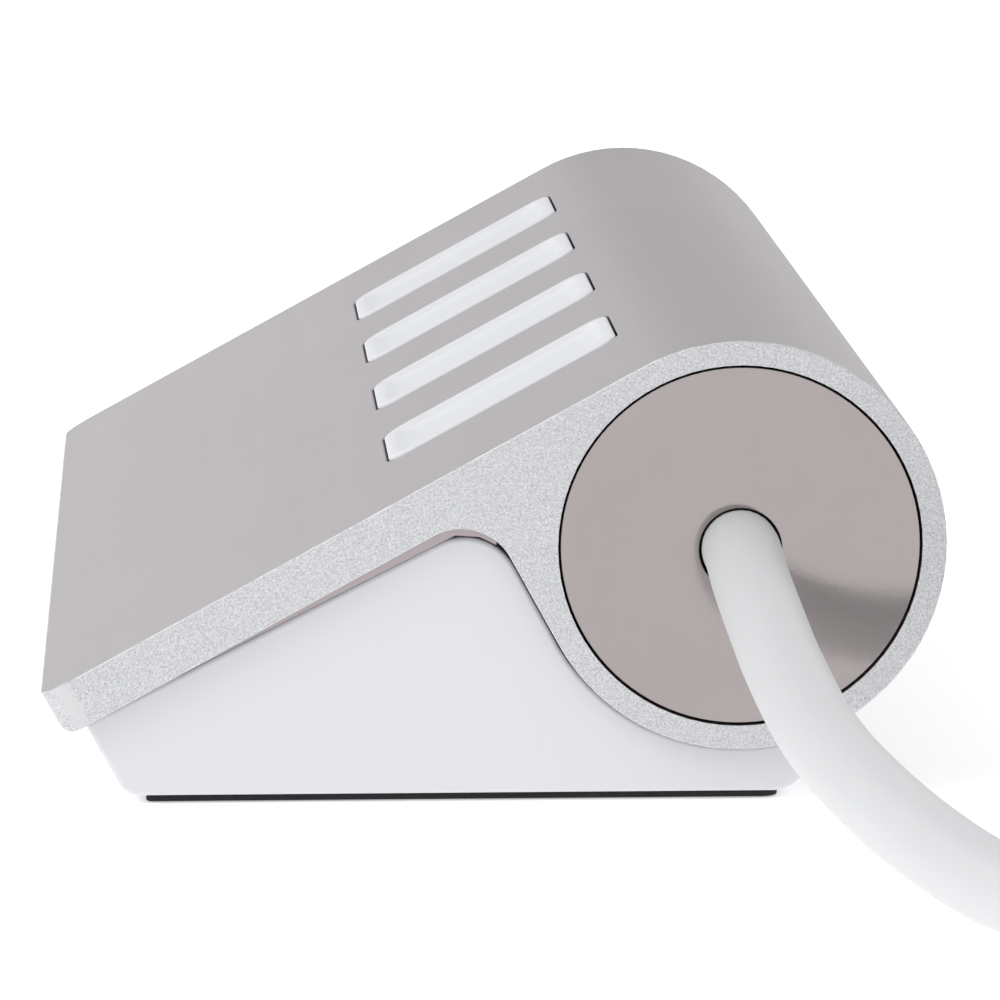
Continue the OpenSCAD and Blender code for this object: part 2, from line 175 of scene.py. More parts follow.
paper = Finish("studio_paper")
sweep_half, sweep_level = 3.0, -0.00006
sweep = new_piece(
    "studio_sweep",
    [(x * sweep_half, y * sweep_half, sweep_level) for x, y in ((-1, -1), (1, -1), (1, 1), (-1, 1))],
    [(0, 1, 2, 3)],
    paper.done(
        Base_Color=paper.blend(paper.noise(9.0), (0.93, 0.93, 0.935), (0.95, 0.95, 0.955)),
        Roughness=0.9,
        Emission_Color=(1.0, 1.0, 1.0, 1.0),
        Emission_Strength=0.40,
    ),
)

sky = bpy.data.worlds.new("studio_sky")
sky.use_nodes = True
sky.node_tree.nodes["Background"].inputs["Color"].default_value = (0.985, 0.985, 1.0, 1.0)
sky.node_tree.nodes["Background"].inputs["Strength"].default_value = 0.72
bpy.context.scene.world = sky

for name, place, size, power in (
    ("soft_box", (-0.5, -0.45, 0.75), 0.6, 2.4),
    ("back_box", (-0.42, 0.9, 0.3), 0.6, 0.5),
    ("side_box", (0.55, 0.6, 0.6), 0.5, 0.6),
):
    light = bpy.data.lights.new(name, "AREA")
    light.size, light.energy = size, power
    lamp = bpy.data.objects.new(name, light)
    lamp.location = place
    lamp.rotation_euler = (-Vector(place)).to_track_quat("-Z", "Y").to_euler()
    bpy.context.scene.collection.objects.link(lamp)

# --- Lead -----------------------------------------------------------------------------------
# A round jacketed data lead of 4.5 mm, extruded in soft white plastic. It leaves through the cap,
# sags to the table, and the rest of its length is wound and strapped beside the hub.
lead_d = 0.0045
lead_points = np.array([
    (14.2874, -48.65, 15.0), (14.2874, -52, 15.0), (14.4, -56, 14.1), (14.8, -61, 12.7), (15.4, -66, 11),
    (16.6, -72.5, 8.8), (18.5, -78, 7), (21.3, -83, 5.1), (25, -87.4, 3.4), (30, -90.3, 2.6),
    (36, -91.5, 2.4), (43, -91.8, 2.6), (50, -91.8, 2.8), (57, -91.75, 3), (64, -91.75, 3.05),
]) / 1000
tail_points = np.array([
    (92.25, -63.5, 12.05), (92.5, -57.5, 11.9), (92.7, -51.5, 10.5), (92.4, -46, 8), (91.3, -40.5, 5.4),
    (90, -37, 4.3), (88.925, -34, 4), (87.8, -31, 4),
]) / 1000
coil_middle = np.array((0.064, -0.0635, 0.00305))
coil_wide, coil_narrow = 0.02825, 0.02375
step_in, step_up, step_out, step_top = 190.0, 535.0, 880.0, 1225.0


def step(x, low, high):
    """Smooth step 3t² - 2t³ from 0 at low to 1 at high."""
    t = np.clip((x - low) / (high - low), 0, 1)
    return t * t * (3 - 2 * t)


def shift(angle, start):
    """One diameter of the lead, gained smoothly over the 50 degrees from start."""
    return lead_d * step(angle, start, start + 50.0)


def wound(angle):
    """Point of the coil at an angle in degrees: a circle whose radius and height change by one
    diameter, one after the other, so that the turns lie in two columns."""
    radius = coil_wide - shift(angle, step_in) + shift(angle, step_out)
    height = shift(angle, step_up) + shift(angle, step_top)
    loose = 0.00012 * np.sin(np.radians(angle * 2.3))
    a = np.radians(angle)
    ring = np.stack([(radius + loose) * np.cos(a), (radius + loose) * np.sin(a), height], axis=-1)
    return coil_middle + ring


def smooth_route(points, spacing):
    """Catmull-Rom curve through the points, at even spacing: on each span
    P(t) = (2B + (C - A)t + (2A - 5B + 4C - D)t² + (3B - A - 3C + D)t³) / 2."""
    ends = np.concatenate([[2 * points[0] - points[1]], points, [2 * points[-1] - points[-2]]])
    a, b, c, d = (ends[i : len(ends) - 3 + i, None, :] for i in range(4))
    t = np.linspace(0, 1, 40, endpoint=False)[None, :, None]
    dense = (2 * b + (c - a) * t + (2 * a - 5 * b + 4 * c - d) * t**2 + (3 * b - a - 3 * c + d) * t**3) / 2
    dense = np.concatenate([dense.reshape(-1, 3), points[-1:]])
    run = np.concatenate([[0], np.cumsum(np.linalg.norm(np.diff(dense, axis=0), axis=1))])
    even = np.linspace(0, run[-1], int(round(run[-1] / spacing)) + 1)
    return np.stack([np.interp(even, run, dense[:, k]) for k in range(3)], axis=-1)


turns = wound(np.arange(-84.0, 1435.0, 5.0))
cord_line = smooth_route(np.concatenate([lead_points, turns, tail_points]), 0.0011)


def tube_along(name, line, radius, sides, material):
    """A round tube: the point at (s, a) is line(s) + radius·(cos a · across + sin a · up), square to
    the line. Its UV map runs 0 to 1 along the line and round it. Both ends are closed."""
    way = np.gradient(line, axis=0)
    way /= np.linalg.norm(way, axis=1, keepdims=True)
    across = np.cross(way, (0.0, 0.0, 1.0))
    across /= np.linalg.norm(across, axis=1, keepdims=True)
    up = np.cross(across, way)
    a = np.linspace(0, 2 * np.pi, sides, endpoint=False)[None, :, None]
    points = line[:, None] + radius * (np.cos(a) * across[:, None] + np.sin(a) * up[:, None])
    i, k = np.meshgrid(np.arange(len(line) - 1), np.arange(sides), indexing="ij")
    j = (k + 1) % sides
    quads = np.stack([i * sides + k, i * sides + j, (i + 1) * sides + j, (i + 1) * sides + k], -1)
    last = (len(line) - 1) * sides
    faces = quads.reshape(-1, 4).tolist()
    faces += [list(range(sides))[::-1], list(range(last, last + sides))]
    piece = new_piece(name, points, faces, material)
    uv = piece.data.uv_layers.new(name="along")
    corner = np.zeros(len(piece.data.loops), np.int64)
    piece.data.loops.foreach_get("vertex_index", corner)
    run, turn = np.divmod(corner, sides)
    wrap = np.tile([0, 1, 1, 0], len(quads.reshape(-1, 4))) == 1
    turn[: len(wrap)] = np.where(wrap & (turn[: len(wrap)] == 0), sides, turn[: len(wrap)])
    spread = np.stack([run / (len(line) - 1), turn / sides], -1)
    uv.data.foreach_set("uv", spread.ravel().astype(np.float32))
    piece.data.shade_smooth()
    return piece


def jacket():
    """Soft white lead plastic: satin, with the faint lengthwise drag of the extruder and some dust."""
    f = Finish("lead_jacket")
    uv = f.add("ShaderNodeUVMap", {"uv_map": "along"})
    drag = f.noise(1.0, 3.0, 0.6, f.stretched((30.0, 9.0, 1.0), uv))
    speck = f.noise(5200.0, 2.0)
    cloud = f.noise(70.0, 2.0)
    shade = cloud * 0.5 + drag * 0.5
    return f.done(
        Base_Color=f.blend(shade, (0.71, 0.715, 0.72), (0.76, 0.765, 0.77)),
        Roughness=shade * 0.14 + speck * 0.08 + 0.34,
        Normal=f.bump(drag * 0.6 + speck * 0.4, 0.12, 0.00006),
        Subsurface_Weight=0.12,
        Subsurface_Radius=(0.0012, 0.001, 0.0009),
    )


lead_plastic = jacket()
lead = tube_along("lead", cord_line, lead_d / 2, 28, lead_plastic)
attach(lead, "hub")
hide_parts("cable_lead", "cable_coil", "cable_tail")

# --- Plug -----------------------------------------------------------------------------------
# A moulded grip over a folded nickel shell. The grip narrows to a ribbed bend relief round the
# lead, and it is the same soft white plastic as the jacket.
plug_at = np.array((0.0878, -0.031, 0.004))
plug_way = np.array((-3.0, 8.0, 0.0)) / math.hypot(3, 8)
plug_side = np.array((8.0, 3.0, 0.0)) / math.hypot(3, 8)


def grip():
    """Cross-sections |x/a|^n + |z/b|^n = 1 carried along the plug, in millimetres: n is 2 on the
    round relief and 5 on the grip, a ripple cos² gives the relief its ribs, and the grip's end is
    rounded over its last millimetre."""
    s = np.concatenate([
        np.linspace(0, 11, 45), np.linspace(11.2, 14, 12), np.linspace(14.5, 29.5, 12),
        30 + np.sin(np.linspace(0, np.pi / 2, 8)),
    ])
    swell = step(s, 9.5, 14.0)
    ribs = 0.35 * np.cos(np.pi * s / 1.8) ** 2 * (1 - step(s, 8.5, 10.5))
    end = np.sqrt(np.clip(1 - np.clip(s - 30, 0, 1) ** 2, 0, 1)) - 1
    relief = 2.45 + 0.095 * s * (1 - swell) + ribs
    wide, tall = relief + swell * 5.3 + end, relief + swell * 1.45 + end
    power = (2 + 3 * swell)[:, None]
    a = np.linspace(0, 2 * np.pi, 56, endpoint=False)
    x, z = (
        half[:, None] * np.sign(wave) * np.abs(wave) ** (2 / power)
        for half, wave in ((wide, np.cos(a)), (tall, np.sin(a)))
    )
    grid = x[..., None] * plug_side + z[..., None] * np.array((0, 0, 1.0)) + s[:, None, None] * plug_way
    return plug_at + grid / 1000


def skin(grid):
    """Faces between the rings of a grid of points, with its first and last ring closed."""
    rings, sides = grid.shape[:2]
    i, k = np.meshgrid(np.arange(rings - 1), np.arange(sides), indexing="ij")
    j = (k + 1) % sides
    quads = np.stack([i * sides + k, (i + 1) * sides + k, (i + 1) * sides + j, i * sides + j], -1)
    last = (rings - 1) * sides
    return quads.reshape(-1, 4).tolist() + [list(range(sides)), list(range(last, last + sides))[::-1]]


def outward(piece):
    """Turns every face outwards, on a closed shape."""
    shape = bmesh.new()
    shape.from_mesh(piece.data)
    bmesh.ops.recalc_face_normals(shape, faces=shape.faces)
    shape.to_mesh(piece.data)
    shape.free()
    return piece


def crisp(piece, angle=32.0):
    """Smooth shading that breaks at edges sharper than the angle, with flat faces kept flat."""
    piece.data.shade_smooth()
    piece.data.set_sharp_from_angle(angle=math.radians(angle))
    even = piece.modifiers.new("even_shading", "WEIGHTED_NORMAL")
    even.keep_sharp = True
    return piece


grip_grid = grip()
plug_grip = crisp(outward(new_piece("plug_grip", grip_grid, skin(grip_grid), lead_plastic)), 50.0)
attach(plug_grip, "hub")
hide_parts("plug_body")


def nickel(name):
    """Folded sheet with a nickel skin: bright, with rolling lines and fine rubbing marks."""
    f = Finish(name)
    rolled = f.noise(900.0, 3.0, 0.6, f.stretched((1.0, 0.08, 1.0)))
    rub = f.noise(260.0, 4.0, 0.65)
    return f.done(
        Base_Color=f.blend(rub, (0.62, 0.62, 0.63), (0.78, 0.78, 0.79)),
        Metallic=1.0,
        Roughness=rolled * 0.12 + rub * 0.12 + 0.14,
        Normal=f.bump(rolled, 0.1, 0.00003),
    )


def insulator(name):
    """The blue moulding inside a fast socket or plug, with a fine spark-eroded texture."""
    f = Finish(name)
    grain = f.noise(6000.0, 2.0)
    return f.done(
        Base_Color=f.blend(f.noise(300.0, 3.0), (0.018, 0.07, 0.42), (0.03, 0.10, 0.52)),
        Roughness=grain * 0.2 + 0.36,
        Normal=f.bump(grain, 0.15, 0.00003),
    )


def gold(name):
    """Thin gold over nickel on a sprung contact, duller where the mating contact wipes."""
    f = Finish(name)
    wipe = f.noise(1200.0, 3.0, 0.6, f.stretched((0.2, 1.0, 1.0)))
    return f.done(
        Base_Color=f.blend(wipe, (0.80, 0.56, 0.20), (0.90, 0.70, 0.34)),
        Metallic=1.0,
        Roughness=wipe * 0.2 + 0.18,
        Normal=f.bump(wipe, 0.1, 0.00002),
    )


def dress(material, *names):
    """Gives CAD nodes a finish, in their own material slots."""
    for name in names:
        slots = nodes[name].material_slots
        if not slots:
            nodes[name].data.materials.append(material)
        for place in slots:
            place.material = material


dress(nickel("plug_nickel"), "plug_shell")
dress(insulator("plug_blue"), "plug_tongue")
dress(gold("plug_gold"), "plug_contacts")

# --- Strap ----------------------------------------------------------------------------------
# A black hook-and-loop strap, woven as one flat band and drawn round the turns of the coil. It
# keeps the spare lead together on the table.
strap_angle = math.radians(-55.0)
strap_out = np.array((math.cos(strap_angle), math.sin(strap_angle), 0.0))
strap_along = np.array((-math.sin(strap_angle), math.cos(strap_angle), 0.0))
strap_wide, strap_thick, strap_gap = 0.008, 0.0007, 0.00005
table_gap = 0.00002


def strap_loop():
    """The outline at distance r round a set of round turns: for each direction n(a), the turn
    that lies furthest that way, plus r·n. Inner and outer loop are joined into a flat band, which
    lies flat where it would go through the table."""
    across = np.array([coil_wide, coil_wide, coil_wide, coil_narrow, coil_narrow])
    level = np.array([0, 1, 2, 0, 1]) * lead_d
    a = np.radians(np.linspace(0, 360, 120, endpoint=False) + 1.0)
    facing = np.stack([np.cos(a), np.sin(a)], -1)
    furthest = (facing @ np.stack([across, level])).argmax(axis=1)
    core = np.stack([across[furthest], level[furthest]], -1)
    near, far = (core + (lead_d / 2 + gap) * facing for gap in (strap_gap, strap_gap + strap_thick))
    w = strap_wide / 2
    rounded = np.array([(-w, 0.0), (-w + 0.0002, 0.5), (-w, 1.0), (w, 1.0), (w - 0.0002, 0.5), (w, 0.0)])
    rings = [near + share * (far - near) for _, share in rounded]
    grid = np.stack([
        coil_middle + ring[:, :1] * strap_out + ring[:, 1:] * np.array((0, 0, 1.0)) + place * strap_along
        for ring, (place, _) in zip(rings, rounded)
    ], axis=1)
    return np.maximum(grid, (-np.inf, -np.inf, table_gap))


def woven():
    """Black looped tape: a plain weave of fine ribs, fuzzy and dull."""
    f = Finish("strap_weave")
    ribs, rows = (
        f.add(
            "ShaderNodeTexWave",
            {"bands_direction": direction, "wave_profile": "SIN"},
            {"Vector": f.place(), "Scale": scale, "Distortion": 1.5, "Detail": 2.0},
        )
        for direction, scale in (("Z", 700.0), ("DIAGONAL", 520.0))
    )
    weave = ribs * rows
    return f.done(
        Base_Color=f.blend(weave, (0.012, 0.012, 0.014), (0.05, 0.05, 0.055)),
        Roughness=0.9,
        Sheen_Weight=0.3,
        Normal=f.bump(weave, 0.8, 0.00015),
    )


strap_grid = strap_loop()
loop_count, band_count = strap_grid.shape[:2]
i, k = np.meshgrid(np.arange(loop_count), np.arange(band_count), indexing="ij")
i2, k2 = (i + 1) % loop_count, (k + 1) % band_count
strap_faces = np.stack(
    [i * band_count + k, i2 * band_count + k, i2 * band_count + k2, i * band_count + k2], -1
).reshape(-1, 4)
strap = crisp(outward(new_piece("strap", strap_grid, strap_faces.tolist(), woven())), 40.0)
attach(strap, "hub")
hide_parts("coil_tie")

# --- Housing --------------------------------------------------------------------------------
# One aluminium extrusion, a tube with a plate that slopes off its crown. Key pockets and socket
# windows are milled, the skin is blasted and anodised, and the sawn ends are blasted bright.
slope = math.radians(28.8)
uphill = np.array((math.cos(slope), 0.0, math.sin(slope)))
square_up = np.array((-math.sin(slope), 0.0, math.cos(slope)))
tube_middle = np.array((0.0142874, 0.0, 0.0152))
tube_r, bore_r = 0.012, 0.0106
body_half, nose_reach, nose_corner = 0.05, 0.0397, 0.0019
milled_half, window_x = 0.045, 0.02


def whole(node):
    """A CAD node's shape with its loose triangles joined and its flat faces made whole again."""
    mesh = nodes[node].data
    points = np.zeros(len(mesh.vertices) * 3, np.float32)
    mesh.vertices.foreach_get("co", points)
    corners = np.zeros(len(mesh.loops), np.int32)
    mesh.loops.foreach_get("vertex_index", corners)
    points = np.round(points.reshape(-1, 3).astype(float), 8)
    points, merged = np.unique(points, axis=0, return_inverse=True)
    tris = merged.ravel()[corners].reshape(-1, 3)
    tris = tris[(tris[:, 0] != tris[:, 1]) & (tris[:, 1] != tris[:, 2]) & (tris[:, 0] != tris[:, 2])]
    clean = bpy.data.meshes.new(node + "_shape")
    clean.from_pydata(points.tolist(), [], tris.tolist())
    shape = bmesh.new()
    shape.from_mesh(clean)
    bpy.data.meshes.remove(clean)
    bmesh.ops.remove_doubles(shape, verts=shape.verts, dist=2e-6)
    bmesh.ops.dissolve_limit(shape, angle_limit=math.radians(0.6), verts=shape.verts, edges=shape.edges)
    return shape


def broken_edges(node, name, material, width, segments=1, chosen=None, limit=35.0):
    """A new piece from a CAD node, with a small chamfer or round on its chosen sharp edges."""
    shape = whole(node)
    sharp = [e for e in shape.edges if e.is_manifold and e.calc_face_angle(0.0) > math.radians(limit)]
    if chosen:
        sharp = [e for e in sharp if chosen(*(np.array(v.co) for v in e.verts))]
    bmesh.ops.bevel(
        shape, geom=sharp, offset=width, offset_type="OFFSET", segments=segments, profile=0.5,
        affect="EDGES", clamp_overlap=False,
    )
    mesh = bpy.data.meshes.new(name)
    shape.to_mesh(mesh)
    shape.free()
    mesh.materials.append(material)
    piece = bpy.data.objects.new(name, mesh)
    bpy.context.scene.collection.objects.link(piece)
    return crisp(piece)


def housing_edge(a, b):
    """The outline at both ends, the pocket mouths on the plate, and the socket windows."""
    out = [math.hypot(*(p - tube_middle)[[0, 2]]) for p in (a, b)]
    at_end = min(abs(a[1]), abs(b[1])) > body_half - 0.00001 and max(out) > bore_r + 0.0002
    level = [float((p - tube_middle) @ square_up) for p in (a, b)]
    on_plate = max(abs(h - tube_r) for h in level) < 0.00001
    on_tube = min(out) > tube_r - 0.00002 and a[0] > window_x
    milled = max(abs(a[1]), abs(b[1])) < milled_half and (on_plate or on_tube)
    return at_end or milled


def blasted():
    """Anodised aluminium. The drawn skin is a warm grey with a fine tight blast. The ends and the
    nose, all that lies on the plan outline, are cut back to bright metal with a sparkling blast.
    The mask is rim = sqrt(side² + past²), where side and past are how far a point lies beyond the
    centre of the nose's round corner, along the tube and down the plate. On the outline it is
    nose_corner."""
    f = Finish("blasted_aluminium")
    values = {0: f.place(), 1: tuple(-uphill)}
    down = f.add("ShaderNodeVectorMath", {"operation": "DOT_PRODUCT"}, values, out=1)
    down = down + float(tube_middle @ uphill)
    side = (abs(f.along("Y")) - (body_half - nose_corner)).math("MAXIMUM", 0.0)
    past = (down - (nose_reach - nose_corner)).math("MAXIMUM", 0.0)
    rim = (side * side + past * past).math("SQRT")
    ends = rim.ramp(0.00180, 0.00186)
    fine = f.noise(9500.0, 2.0, 0.6)
    grit = f.noise(8200.0, 2.0, 0.75)
    spark = f.cells(9500.0)
    cloud = f.noise(55.0, 3.0, 0.55)
    drawn = f.noise(420.0, 2.0, 0.5, f.stretched((1.0, 0.03, 1.0)))
    lip_band = rim.ramp(0.00180, 0.00184) * (1 - rim.ramp(0.00187, nose_corner))
    lip = lip_band * f.noise(700.0, 3.0).ramp(0.35, 0.6)
    skin_tone = fine * 0.75 + cloud * 0.12 + drawn * 0.13
    end_tone = grit * 1.5 + spark * 0.35 - 0.42
    skin_colour = f.blend(skin_tone, (0.36, 0.34, 0.344), (0.64, 0.61, 0.616))
    end_colour = f.blend(end_tone, (0.39, 0.395, 0.405), (0.90, 0.905, 0.92))
    # Painted highlight: a soft, smooth light grey band is painted on the nose's round corners next to the
    # ends, where the rounding catches the light. It is mixed into the cut colour below, and the blast
    # relief is left out of it.
    corner_highlight_band = past.ramp(0.00001, 0.0003) * (1 - past.ramp(0.0006, 0.0014))
    corner = corner_highlight_band * side.ramp(0.0010, 0.0015)
    cut_colour_and_highlight = f.blend(corner * 0.8, f.blend(ends, skin_colour, end_colour), (0.66, 0.66, 0.66))
    colour = f.blend(lip * 0.6, cut_colour_and_highlight, (0.90, 0.90, 0.905))
    relief = ends * (1 - corner) * (grit * 0.9 + spark * 0.4) + (1 - ends) * (fine * 0.6)
    return f.done(
        Base_Color=colour,
        Metallic=1.0,
        Roughness=ends * (spark * 0.18) + (1 - ends) * (fine * 0.10) + 0.42,
        Normal=f.bump(relief, 0.6, 0.00005),
    )


housing = broken_edges("housing_extrusion", "housing", blasted(), 0.00006, chosen=housing_edge)
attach(housing, "hub")
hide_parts("housing_extrusion")

# --- Foot -----------------------------------------------------------------------------------
# A white moulded wedge, hollow and open to the plate. Foam tape holds it to the plate, a steel
# ballast plate is screwed to its floor, and a thin rubber sheet covers its sole.


def moulded(name, dark, light, rough, grain=3800.0, relief=0.25, coat=0.0, glow=0.0):
    """Injection-moulded plastic: an even colour with faint flow clouds and a fine tool texture."""
    f = Finish(name)
    texture = f.noise(grain, 3.0, 0.6)
    flow = f.noise(38.0, 3.0, 0.5)
    return f.done(
        Base_Color=f.blend(flow * 0.7 + texture * 0.3, dark, light),
        Roughness=texture * 0.16 + flow * 0.06 + rough - 0.1,
        Normal=f.bump(texture, relief, 0.00003),
        Coat_Weight=coat,
        Subsurface_Weight=glow,
        Subsurface_Radius=(0.002, 0.002, 0.0022),
    )


def rubber(name):
    """Black sheet rubber with a dull skin and dust in its pores."""
    f = Finish(name)
    pores = f.noise(2600.0, 4.0, 0.65)
    dust = f.noise(160.0, 4.0, 0.7)
    return f.done(
        Base_Color=f.blend(dust.ramp(0.5, 0.8), (0.010, 0.009, 0.011), (0.035, 0.032, 0.036)),
        Roughness=pores * 0.2 + 0.68,
        Normal=f.bump(pores, 0.5, 0.00006),
    )


white_foot = moulded(
    "foot_white", (0.735, 0.74, 0.765), (0.775, 0.78, 0.805), 0.42, relief=0.12, coat=0.15, glow=0.1
)
foot = broken_edges("base_shell", "foot", white_foot, 0.00028, 3, limit=40.0)
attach(foot, "hub")
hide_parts("base_shell")

sole = broken_edges("foot_pad", "sole", rubber("sole_rubber"), 0.00008, 2)
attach(sole, "hub")
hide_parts("foot_pad")

dress(moulded("foam_tape", (0.50, 0.44, 0.45), (0.60, 0.53, 0.54), 0.6, 1800.0, 0.4), "bond_tape")


def plated_steel(name):
    """Zinc-plated steel plate: bluish, with a patchy bright skin and shearing marks."""
    f = Finish(name)
    patch = f.noise(150.0, 4.0, 0.6)
    shear = f.noise(700.0, 2.0, 0.5, f.stretched((1.0, 0.1, 1.0)))
    return f.done(
        Base_Color=f.blend(patch, (0.33, 0.34, 0.36), (0.52, 0.53, 0.54)),
        Metallic=1.0,
        Roughness=patch * 0.2 + shear * 0.1 + 0.28,
        Normal=f.bump(shear * 0.6 + patch * 0.4, 0.25, 0.00005),
    )


dress(plated_steel("ballast_steel"), "ballast_plate")


def turned(name):
    """Machined screw metal: rings from the tool and a bright plated skin."""
    f = Finish(name)
    rings = f.noise(3000.0, 2.0, 0.5, f.stretched((0.2, 0.2, 1.0)))
    wear = f.noise(600.0, 3.0)
    return f.done(
        Base_Color=f.blend(wear, (0.50, 0.50, 0.51), (0.68, 0.68, 0.69)),
        Metallic=1.0,
        Roughness=rings * 0.16 + wear * 0.1 + 0.2,
        Normal=f.bump(rings, 0.2, 0.00003),
    )


bright_metal = turned("screw_nickel")
dress(bright_metal, "ballast_screws")

# --- End caps -------------------------------------------------------------------------------
# Round smoked-mirror plastic caps pressed against black rubber rings in the tube's ends. Three
# posts hold each one in its cradle, and the lead passes through the hole in the near one, with a
# rubber stop moulded on it behind.


def smoked(name):
    """Tinted mirror plastic: a clean gloss with the faintest ripple, haze and handling marks."""
    f = Finish(name)
    ripple = f.noise(90.0)
    haze = f.noise(240.0, 4.0, 0.6)
    pits = f.noise(3000.0, 1.0)
    return f.done(
        Base_Color=f.blend(haze, (0.338, 0.305, 0.300), (0.366, 0.335, 0.328)),
        Metallic=1.0,
        Roughness=haze * 0.05 + pits * 0.02 + 0.05,
        Normal=f.bump(ripple * 0.8 + pits * 0.2, 0.02, 0.0002),
    )


def cap_edge(a, b):
    """The rim of a cap's outer face and of its hole."""
    return min(abs(a[1]), abs(b[1])) > body_half - 0.0002


mirror = smoked("cap_mirror")
for node, name in (("cable_cap", "lead_cap"), ("end_cap", "far_cap")):
    cap = broken_edges(node, name, mirror, 0.00003, chosen=cap_edge)
    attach(cap, "hub")
    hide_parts(node)
dress(rubber("ring_rubber"), "cable_cap_gasket", "end_cap_gasket", "cable_bush")

# --- Cradles --------------------------------------------------------------------------------
# Black moulded discs that slide into the tube's ends, hold both boards in slots and take the caps'
# posts. One countersunk screw through the tube wall keeps each of them in place.
black_plastic = moulded("cradle_black", (0.016, 0.016, 0.018), (0.028, 0.028, 0.03), 0.5, 3000.0, 0.4)
dress(black_plastic, "cable_cradle", "end_cradle")
dress(bright_metal, "cradle_screws")

# --- Keys -----------------------------------------------------------------------------------
# Four dished push keys in the pockets above the tube, moulded in satin white. Each has a raised
# rim, a post that presses its switch, and two hooks that catch under the tube's wall.
stations = (-0.03075, -0.01025, 0.01025, 0.03075)
key_middle, key_long, key_wide, key_corner = 0.00835, 0.0155, 0.0101, 0.0012
key_top, key_under = 0.01212, 0.0103
key_sunk, middle_half = 0.00034, 0.00001
post_down = 0.0052
hook_down, hook_in, hook_leg, hook_barb = (0.0015, 0.0025), 0.0042, 0.0050, 0.0056
leg_level, barb_level = (0.0101, 0.01032), (0.0094, 0.0101)


def outline(half_long, half_wide, corner):
    """A rectangle with round corners: each quarter is its corner's centre plus corner times
    (cos a, sin a)."""
    a = np.linspace(0, np.pi / 2, 16)
    quarters = []
    for n, (sx, sy) in enumerate(((1, 1), (-1, 1), (-1, -1), (1, -1))):
        centre = np.array((sx * (half_long - corner), sy * (half_wide - corner)))
        turn = a + n * np.pi / 2
        quarters.append(centre + corner * np.stack([np.cos(turn), np.sin(turn)], -1))
    return np.concatenate(quarters)


def on_slope(down, side, height):
    """Row-frame points from distance down the plate, distance along the tube, and height above
    the tube's axis, square to the plate."""
    return (
        tube_middle
        - down[..., None] * uphill
        + side[..., None] * np.array((0.0, 1.0, 0.0))
        + height[..., None] * square_up
    )


def key_face(station):
    """Rings of the rounded outline, each with an inset in millimetres and a height: the sunk middle,
    a soft wall up to the rim, the rim, its rounded edge and the side down to the underside. A
    ring's drop is a share of how far the middle is sunk."""
    inset = np.array([
        5.04, 4.4, 3.4, 2.4, 1.75, 1.35, 1.1, 0.92, 0.78, 0.66, 0.5, 0.3,
        0.2, 0.12, 0.05, 0.015, 0, 0, 0, 0.12, 1.5, 4.0, 5.04,
    ]) / 1000
    drop = np.array([1, 0.99, 0.97, 0.93, 0.82, 0.6, 0.38, 0.2, 0.07, 0, 0, 0, 0.03, 0.09, 0.2, 0.36, 0.6])
    side_level = key_under + np.array([0.0008, 0.00012, 0, 0, 0, 0])
    height = np.concatenate([key_top - drop * key_sunk, side_level])
    flat = np.stack([
        outline(
            key_long / 2 - d,
            key_wide / 2 - d,
            max(key_corner - d, middle_half + 0.25 * (key_wide / 2 - d)),
        )
        for d in inset
    ])
    level = np.broadcast_to(height[:, None], flat.shape[:2])
    return on_slope(key_middle - flat[..., 0], station + flat[..., 1], level)


def brick(down, side, height):
    """The eight corners of a block on the slope, from its ranges, and its six faces."""
    d, s, h = (np.array(v) for v in np.meshgrid(down, side, height, indexing="ij"))
    return on_slope(d.ravel(), s.ravel(), h.ravel()), [
        (0, 1, 3, 2), (4, 6, 7, 5), (0, 4, 5, 1), (2, 3, 7, 6), (0, 2, 6, 4), (1, 5, 7, 3)]


def post(station):
    """The round post under a key: a circle of 1.1 mm carried from the key down to its switch."""
    a = np.linspace(0, 2 * np.pi, 28, endpoint=False)
    level = np.array([key_under, 0.0088, 0.00868, 0.0086])
    radius = np.array([1.1, 1.1, 1.02, 0.86]) / 1000
    x, y = radius[:, None] * np.cos(a), radius[:, None] * np.sin(a)
    return on_slope(post_down - x, station + y, np.broadcast_to(level[:, None], x.shape))


def joined(parts):
    """The points and the faces of several parts as one list of each."""
    points, faces = np.empty((0, 3)), []
    for part_points, part_faces in parts:
        faces += [[v + len(points) for v in face] for face in part_faces]
        points = np.concatenate([points, part_points])
    return points, faces


def satin_key(name):
    """White key plastic: pale and cool, with a satin skin, faint flow and a light lengthwise drag."""
    f = Finish(name)
    scratch = f.noise(1500.0, 4.0, 0.7, f.stretched((1.0, 0.15, 1.0)))
    flow = f.noise(120.0, 2.0)
    return f.done(
        Base_Color=f.blend(flow, (0.775, 0.79, 0.82), (0.805, 0.82, 0.85)),
        Roughness=scratch * 0.05 + 0.34,
        Normal=f.bump(flow, 0.03, 0.0001),
        Coat_Weight=0.15,
    )


key_white = satin_key("key_white")
for number, station in enumerate(stations, 1):
    parts = [(rings.reshape(-1, 3), skin(rings)) for rings in (key_face(station), post(station))]
    for side in (1, -1):
        for tip, level in ((hook_leg, leg_level), (hook_barb, barb_level)):
            across = station + np.sort([side * hook_in, side * tip])
            parts.append(brick(hook_down, across, level))
    key = crisp(outward(new_piece(f"key_{number}", *joined(parts), key_white)), 55.0)
    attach(key, f"key_{number}")
    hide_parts(f"port_key_{number}")

# --- Switches -------------------------------------------------------------------------------
# A small tactile switch under each key on a narrow board, with a light beside it that shines into
# the key. Pins carry the key board's signals down to the main board.


def cream(name, dark, light):
    """Unpainted connector plastic: slightly warm, matt, with a faint moulded grain."""
    f = Finish(name)
    grain = f.noise(4200.0, 3.0)
    return f.done(
        Base_Color=f.blend(f.noise(90.0, 3.0), dark, light),
        Roughness=grain * 0.2 + 0.42,
        Normal=f.bump(grain, 0.2, 0.00003),
    )


